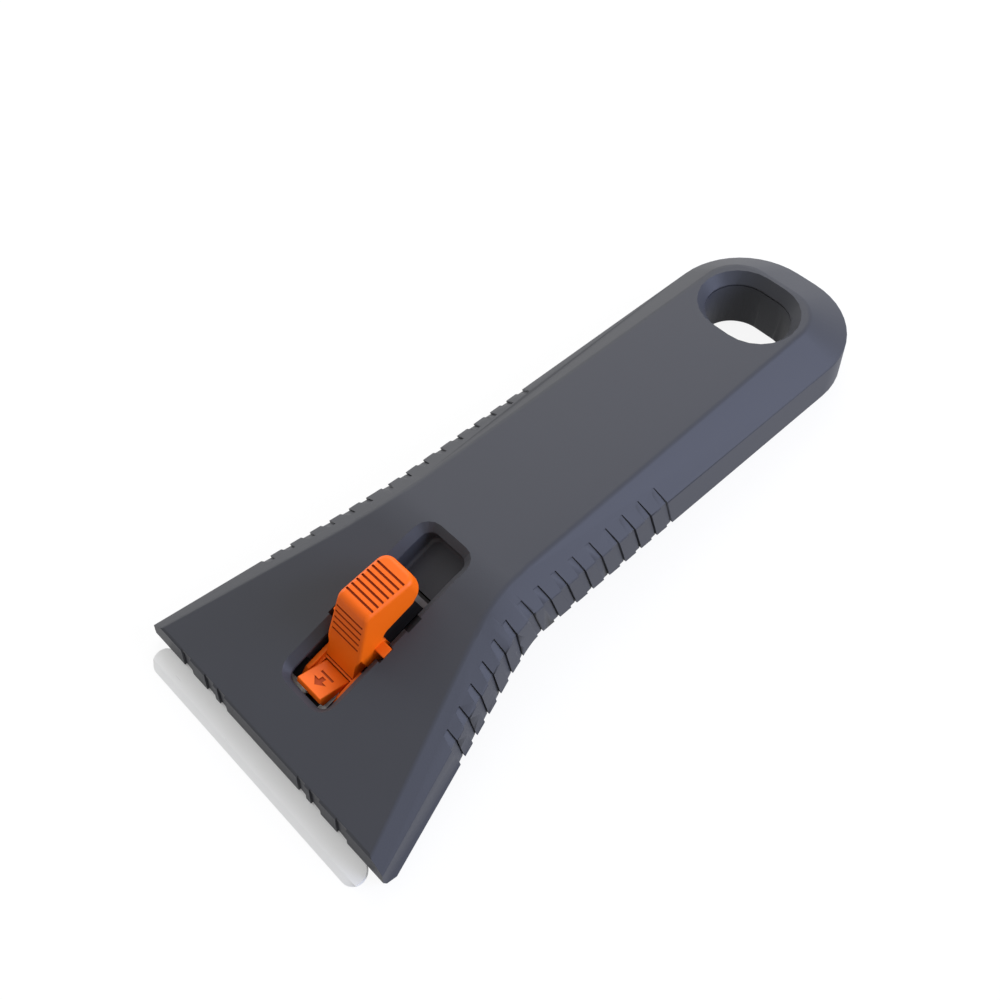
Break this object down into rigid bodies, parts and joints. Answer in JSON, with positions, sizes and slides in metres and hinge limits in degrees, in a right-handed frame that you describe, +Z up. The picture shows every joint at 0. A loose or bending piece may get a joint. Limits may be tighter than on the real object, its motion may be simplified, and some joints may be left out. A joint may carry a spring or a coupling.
{
  "type": "ceramic blade scraper",
  "caption": "Hand scraper with a wide flat head, a bent handle with a hanging eye, and a thumb slider that runs a rounded ceramic blade out and back.",
  "frame": {"origin": "centre of the bounding box's bottom face, on the surface that the tool lies on", "axes": "+Y from the blade to the hanging end, +Z up out of the thumb slider's side, +X across the head"},
  "size_m": [0.074, 0.1706, 0.0257],
  "materials": {
    "graphite_plastic": "satin graphite grey moulding",
    "black_plastic": "dark moulding",
    "orange_plastic": "satin orange moulding",
    "white_ceramic": "smooth ground zirconia ceramic",
    "steel": "plain steel"
  },
  "bodies": {
    "housing": {"top_housing": "graphite_plastic", "base_cover": "black_plastic", "cover_screw_1": "steel", "cover_screw_2": "steel", "cover_screw_3": "steel", "cover_screw_4": "steel"},
    "slider": {"blade_carrier": "black_plastic", "slider_frame": "orange_plastic", "lock_spring": "steel", "ceramic_blade": "white_ceramic"},
    "button": {"thumb_button": "orange_plastic", "lock_lugs": "orange_plastic"},
    "tongue": {"release_tongue": "orange_plastic"}
  },
  "joints": [
    {"name": "slider_travel", "type": "slide", "parent": "housing", "child": "slider", "axis": [0, 0.9658, 0.2593], "range_m": [0, 0.008], "deforming": ["lock_lugs"]},
    {"name": "button_press", "type": "slide", "parent": "slider", "child": "button", "axis": [0, 0.2593, -0.9658], "range_m": [0, 0.0027], "stiffness_N_per_m": 900, "deforming": ["lock_spring"]},
    {"name": "release_tongue_hinge", "type": "hinge", "parent": "slider", "child": "tongue", "pos_m": [0, -0.05959, 0.00778], "axis": [-1, 0, 0], "range_deg": [0, 12], "stiffness_Nm_per_rad": 0.05}
  ]
}
